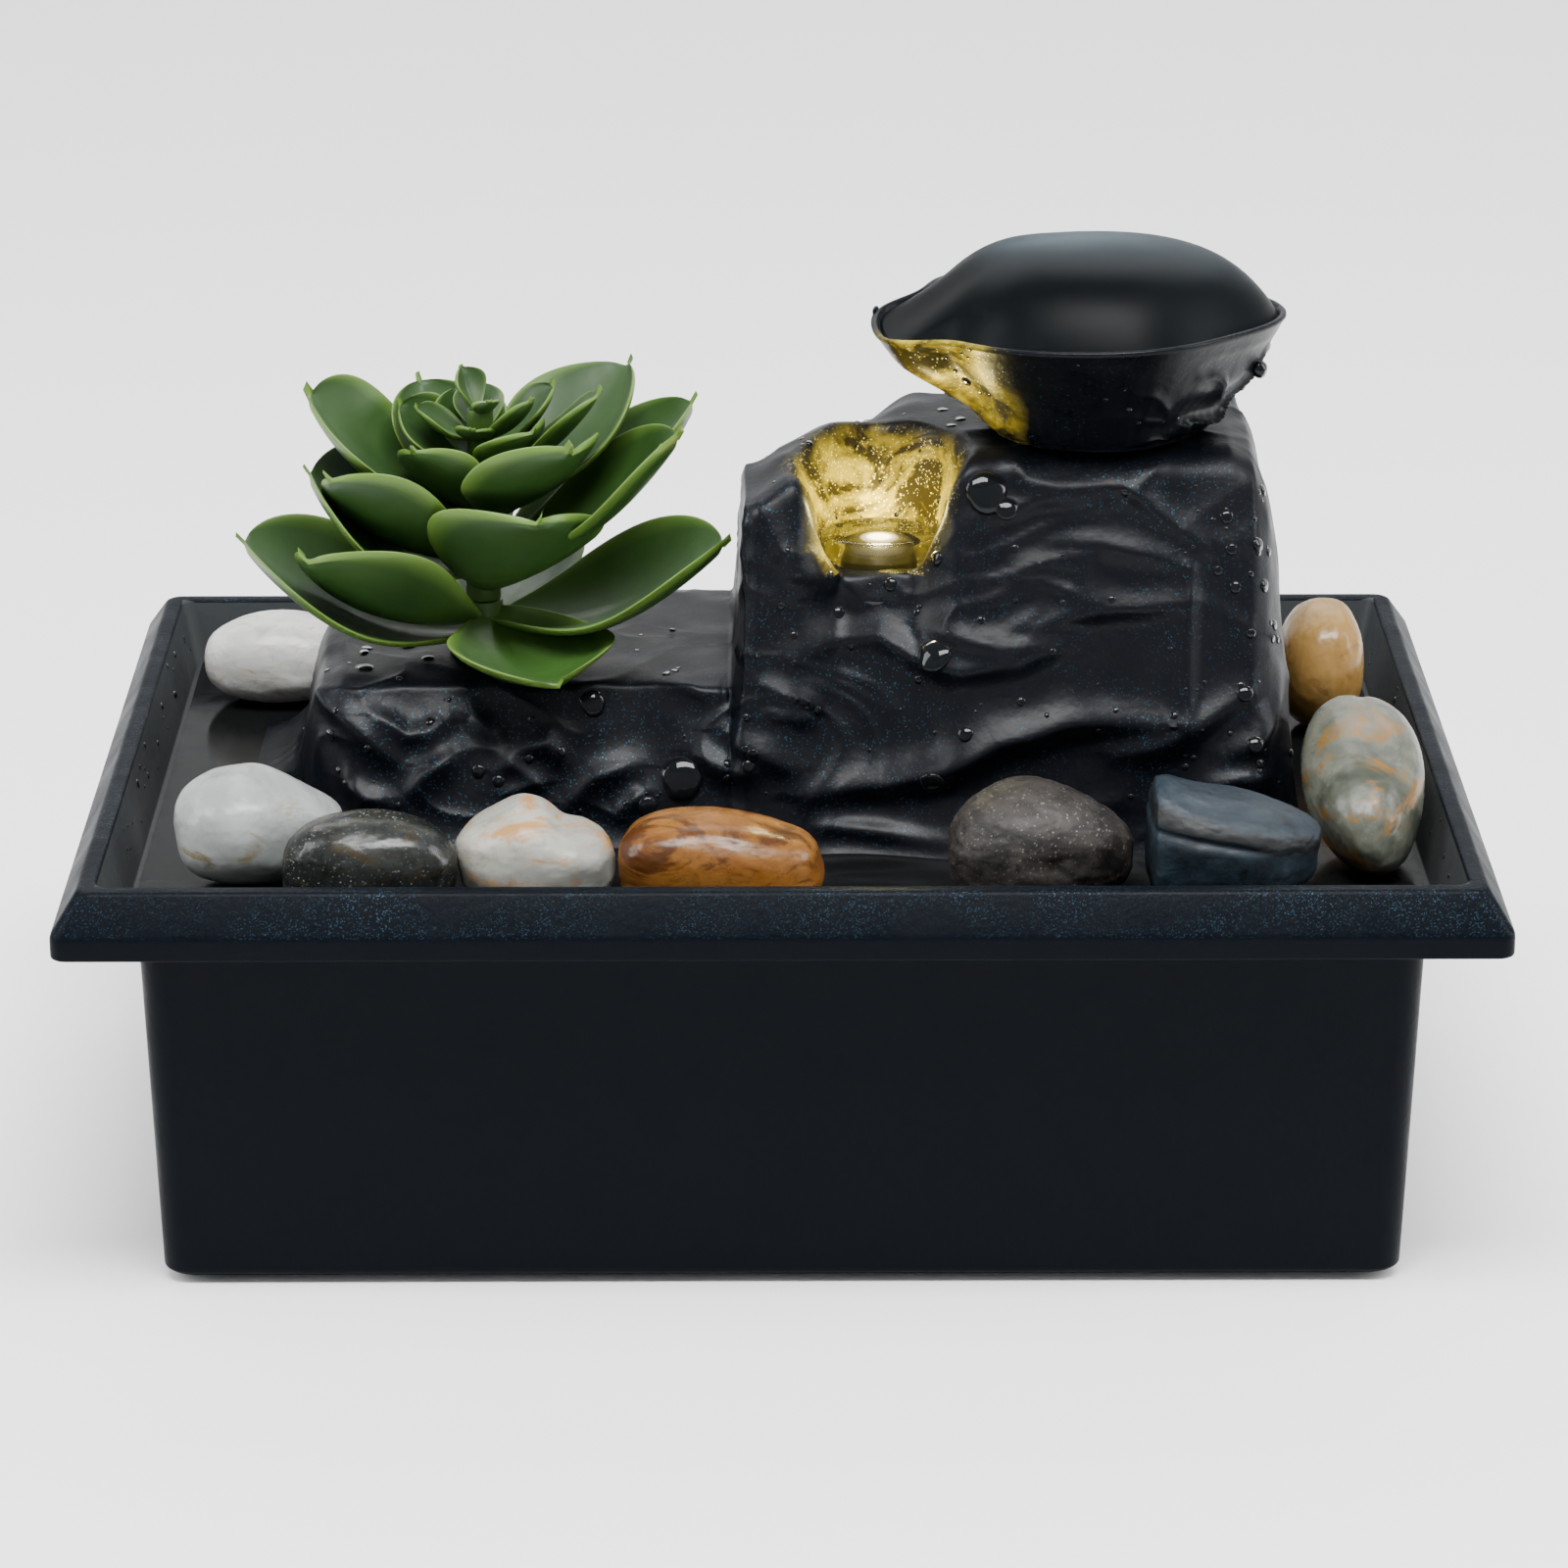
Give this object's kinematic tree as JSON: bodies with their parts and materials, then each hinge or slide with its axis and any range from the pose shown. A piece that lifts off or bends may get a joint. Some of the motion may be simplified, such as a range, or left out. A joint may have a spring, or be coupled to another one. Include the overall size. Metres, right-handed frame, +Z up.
{
  "type": "tabletop water fountain",
  "caption": "Tabletop water fountain: rectangular basin with a sloped rim, a moulded rockery with a lit pool and an upper bowl, a succulent and loose pebbles.",
  "frame": {"origin": "centre of the footprint, on the surface the fountain stands on", "axes": "+Z up, -Y towards the viewer, +X to the viewer's right along the long side"},
  "size_m": [0.21, 0.145, 0.1336],
  "materials": {
    "basin_plastic": "satin, fine metallic flake",
    "rock_plastic": "satin black with blue sheen, wet",
    "deck_plastic": "matte black",
    "rubber_black": "matte",
    "pump_plastic": "moulded black",
    "clear_plastic": "clear",
    "silicone": "translucent silicone",
    "steel": "zinc plated",
    "core_steel": "laminated steel",
    "copper": "enamelled copper",
    "magnet": "moulded magnet rotor",
    "ceramic_shaft": "polished",
    "sponge": "open foam",
    "board_green": "solder mask",
    "led_warm": "warm phosphor",
    "light_lens": "clear lens, lit warm from below",
    "leaf_green": "soft satin vinyl",
    "stone_white": "polished",
    "stone_black": "polished",
    "stone_cream": "polished",
    "stone_amber": "polished",
    "stone_brown": "polished",
    "stone_slate": "polished",
    "stone_olive": "polished"
  },
  "bodies": {
    "base": {"basin": "basin_plastic", "rubber_feet": "rubber_black", "cable_grommet": "rubber_black", "pump_body": "pump_plastic", "pump_back_cover": "pump_plastic", "stator_core": "core_steel", "stator_coil": "copper", "impeller_shaft": "ceramic_shaft", "shaft_bushes": "rubber_black", "volute": "pump_plastic", "volute_screws": "steel", "suction_cups": "rubber_black", "pump_gland": "rubber_black", "led_socket": "pump_plastic"},
    "rockery": {"deck_tray": "deck_plastic", "deck_screws": "steel", "rockery_shell": "rock_plastic", "riser_pipe": "clear_plastic", "bowl_coupler": "silicone", "hose": "silicone", "led_housing": "pump_plastic", "led_lens": "light_lens", "led_seal": "rubber_black", "led_board": "board_green", "led_chip": "led_warm", "led_lead": "rubber_black", "led_plug": "pump_plastic", "plant_socket": "rubber_black"},
    "bowl": {"upper_bowl": "rock_plastic", "bowl_outlet": "pump_plastic"},
    "plant": {"plant_stem": "leaf_green", "leaf_ring_1": "leaf_green", "leaf_ring_2": "leaf_green", "leaf_ring_3": "leaf_green", "leaf_ring_4": "leaf_green", "leaf_ring_5": "leaf_green", "leaf_bud": "leaf_green"},
    "rotor": {"impeller": "magnet"},
    "strainer": {"intake_cover": "pump_plastic", "filter_sponge": "sponge"},
    "dial": {"flow_dial": "pump_plastic"},
    "pebble_white": {"pebble_white": "stone_white"},
    "pebble_black": {"pebble_black": "stone_black"},
    "pebble_cream": {"pebble_cream": "stone_cream"},
    "pebble_amber": {"pebble_amber": "stone_amber"},
    "pebble_brown": {"pebble_brown": "stone_brown"},
    "pebble_slate": {"pebble_slate": "stone_slate"},
    "pebble_olive": {"pebble_olive": "stone_olive"},
    "pebble_tan": {"pebble_tan": "stone_amber"},
    "pebble_ivory": {"pebble_ivory": "stone_cream"},
    "pebble_milk": {"pebble_milk": "stone_white"},
    "pebble_rear_grey": {"pebble_rear_grey": "stone_slate"},
    "pebble_rear_rust": {"pebble_rear_rust": "stone_amber"},
    "pebble_rear_green": {"pebble_rear_green": "stone_olive"}
  },
  "joints": [
    {"name": "rockery_lift", "type": "slide", "parent": "base", "child": "rockery", "axis": [0, 0, 1], "range_m": [0, 0.08]},
    {"name": "bowl_lift", "type": "slide", "parent": "rockery", "child": "bowl", "axis": [0, 0, 1], "range_m": [0, 0.04]},
    {"name": "plant_pull", "type": "slide", "parent": "rockery", "child": "plant", "axis": [0, 0, 1], "range_m": [0, 0.04]},
    {"name": "impeller_spin", "type": "hinge", "parent": "base", "child": "rotor", "pos_m": [0.048, 0.009, 0.015], "axis": [0, 1, 0], "continuous": true},
    {"name": "strainer_pull", "type": "slide", "parent": "base", "child": "strainer", "axis": [0, -1, 0], "range_m": [0, 0.015]},
    {"name": "flow_dial_turn", "type": "hinge", "parent": "strainer", "child": "dial", "pos_m": [0.048, -0.015, 0.015], "axis": [0, 1, 0], "range_deg": [0, 45]},
    {"name": "pebble_white_lift", "type": "slide", "parent": "rockery", "child": "pebble_white", "axis": [0, 0, 1], "range_m": [0, 0.03]},
    {"name": "pebble_black_lift", "type": "slide", "parent": "rockery", "child": "pebble_black", "axis": [0, 0, 1], "range_m": [0, 0.03]},
    {"name": "pebble_cream_lift", "type": "slide", "parent": "rockery", "child": "pebble_cream", "axis": [0, 0, 1], "range_m": [0, 0.03]},
    {"name": "pebble_amber_lift", "type": "slide", "parent": "rockery", "child": "pebble_amber", "axis": [0, 0, 1], "range_m": [0, 0.03]},
    {"name": "pebble_brown_lift", "type": "slide", "parent": "rockery", "child": "pebble_brown", "axis": [0, 0, 1], "range_m": [0, 0.03]},
    {"name": "pebble_slate_lift", "type": "slide", "parent": "rockery", "child": "pebble_slate", "axis": [0, 0, 1], "range_m": [0, 0.03]},
    {"name": "pebble_olive_lift", "type": "slide", "parent": "rockery", "child": "pebble_olive", "axis": [0, 0, 1], "range_m": [0, 0.03]},
    {"name": "pebble_tan_lift", "type": "slide", "parent": "rockery", "child": "pebble_tan", "axis": [0, 0, 1], "range_m": [0, 0.03]},
    {"name": "pebble_ivory_lift", "type": "slide", "parent": "rockery", "child": "pebble_ivory", "axis": [0, 0, 1], "range_m": [0, 0.03]},
    {"name": "pebble_milk_lift", "type": "slide", "parent": "rockery", "child": "pebble_milk", "axis": [-0.5001, 0.25, 0.8291], "range_m": [0, 0.02]},
    {"name": "pebble_rear_grey_lift", "type": "slide", "parent": "rockery", "child": "pebble_rear_grey", "axis": [0, 0, 1], "range_m": [0, 0.03]},
    {"name": "pebble_rear_rust_lift", "type": "slide", "parent": "rockery", "child": "pebble_rear_rust", "axis": [0, 0, 1], "range_m": [0, 0.03]},
    {"name": "pebble_rear_green_lift", "type": "slide", "parent": "rockery", "child": "pebble_rear_green", "axis": [0, 0, 1], "range_m": [0, 0.03]}
  ]
}
